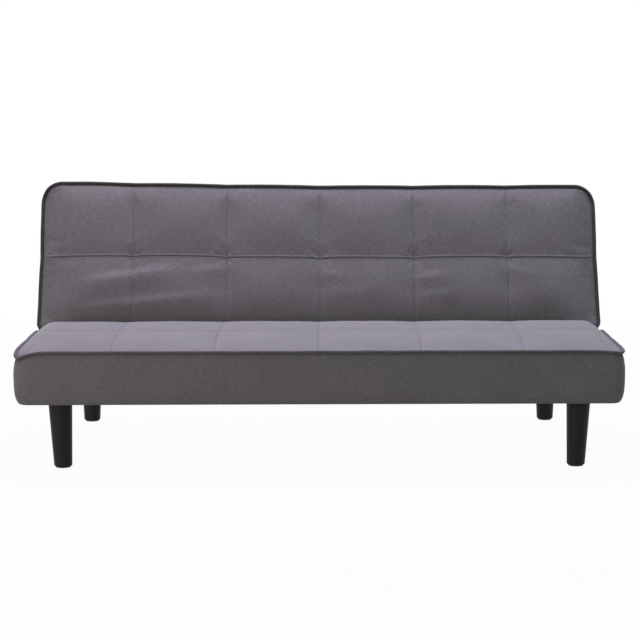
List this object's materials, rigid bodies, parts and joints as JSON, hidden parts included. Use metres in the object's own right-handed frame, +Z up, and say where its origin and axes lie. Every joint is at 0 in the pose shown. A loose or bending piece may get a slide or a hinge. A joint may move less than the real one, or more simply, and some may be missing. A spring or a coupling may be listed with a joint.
{
  "type": "click clack sofa bed",
  "caption": "Armless click clack sofa bed: quilted seat on tapered legs and a quilted backrest that folds flat on ratchet hinges.",
  "frame": {"origin": "on the floor under the middle of the overall outline, backrest upright", "axes": "+X across the width, to the right in the picture; -Y towards the front; +Z up"},
  "size_m": [1.68, 0.8816, 0.7534],
  "materials": {
    "upholstery": "matte",
    "piping": "matte",
    "timber": "matte",
    "webbing": "matte",
    "felt": "matte",
    "foam": "matte",
    "lining": "matte",
    "bumper_rubber": "matte",
    "leg_plastic": "satin",
    "glide_plastic": "matte",
    "zinc_steel": "satin",
    "spring_steel": "satin",
    "black_steel": "satin"
  },
  "bodies": {
    "seat_section": {"seat_cover": "upholstery", "seat_piping": "piping", "seat_dust_cover": "lining", "seat_front_rail": "timber", "seat_rear_rail": "timber", "seat_left_rail": "timber", "seat_right_rail": "timber", "seat_centre_bar": "timber", "seat_web_1": "webbing", "seat_web_2": "webbing", "seat_web_3": "webbing", "seat_web_4": "webbing", "seat_felt": "felt", "seat_foam": "foam", "base_tube_left": "black_steel", "base_tube_right": "black_steel", "base_cross_tube": "black_steel", "bumper_left": "bumper_rubber", "bumper_right": "bumper_rubber", "leg_front_left": "leg_plastic", "leg_front_right": "leg_plastic", "leg_rear_left": "leg_plastic", "leg_rear_right": "leg_plastic", "leg_plate_front_left": "black_steel", "leg_plate_front_right": "black_steel", "leg_plate_rear_left": "black_steel", "leg_plate_rear_right": "black_steel", "leg_stud_front_left": "zinc_steel", "leg_stud_front_right": "zinc_steel", "leg_stud_rear_left": "zinc_steel", "leg_stud_rear_right": "zinc_steel", "glide_front_left": "glide_plastic", "glide_front_right": "glide_plastic", "glide_rear_left": "glide_plastic", "glide_rear_right": "glide_plastic", "hinge_base_left": "black_steel", "hinge_base_right": "black_steel", "hinge_pin_left": "zinc_steel", "hinge_pin_right": "zinc_steel", "pawl_pin_left": "zinc_steel", "pawl_pin_right": "zinc_steel", "pawl_spring_left": "spring_steel", "pawl_spring_right": "spring_steel"},
    "backrest": {"back_cover": "upholstery", "back_piping": "piping", "back_rear_panel": "lining", "back_front_rail": "timber", "back_rear_rail": "timber", "back_left_rail": "timber", "back_right_rail": "timber", "back_centre_bar": "timber", "back_web_1": "webbing", "back_web_2": "webbing", "back_web_3": "webbing", "back_felt": "felt", "back_foam": "foam", "hinge_arm_left": "black_steel", "hinge_arm_right": "black_steel"},
    "pawl_left": {"pawl_left": "zinc_steel"},
    "pawl_right": {"pawl_right": "zinc_steel"}
  },
  "joints": [
    {"name": "backrest_fold", "type": "hinge", "parent": "seat_section", "child": "backrest", "pos_m": [0, 0.07925, 0.322], "axis": [1, 0, 0], "range_deg": [-70.5, 12]},
    {"name": "pawl_click", "type": "hinge", "parent": "seat_section", "child": "pawl_left", "pos_m": [-0.7935, 0.04525, 0.265], "axis": [1, 0, 0], "range_deg": [-6, 9], "stiffness_Nm_per_rad": 0.2},
    {"name": "pawl_click_right", "type": "hinge", "parent": "seat_section", "child": "pawl_right", "pos_m": [0.7935, 0.04525, 0.265], "axis": [1, 0, 0], "range_deg": [-6, 9], "stiffness_Nm_per_rad": 0.2}
  ],
  "couplings": [
    {"joint": "pawl_click_right", "follows": "pawl_click", "ratio": 1}
  ]
}
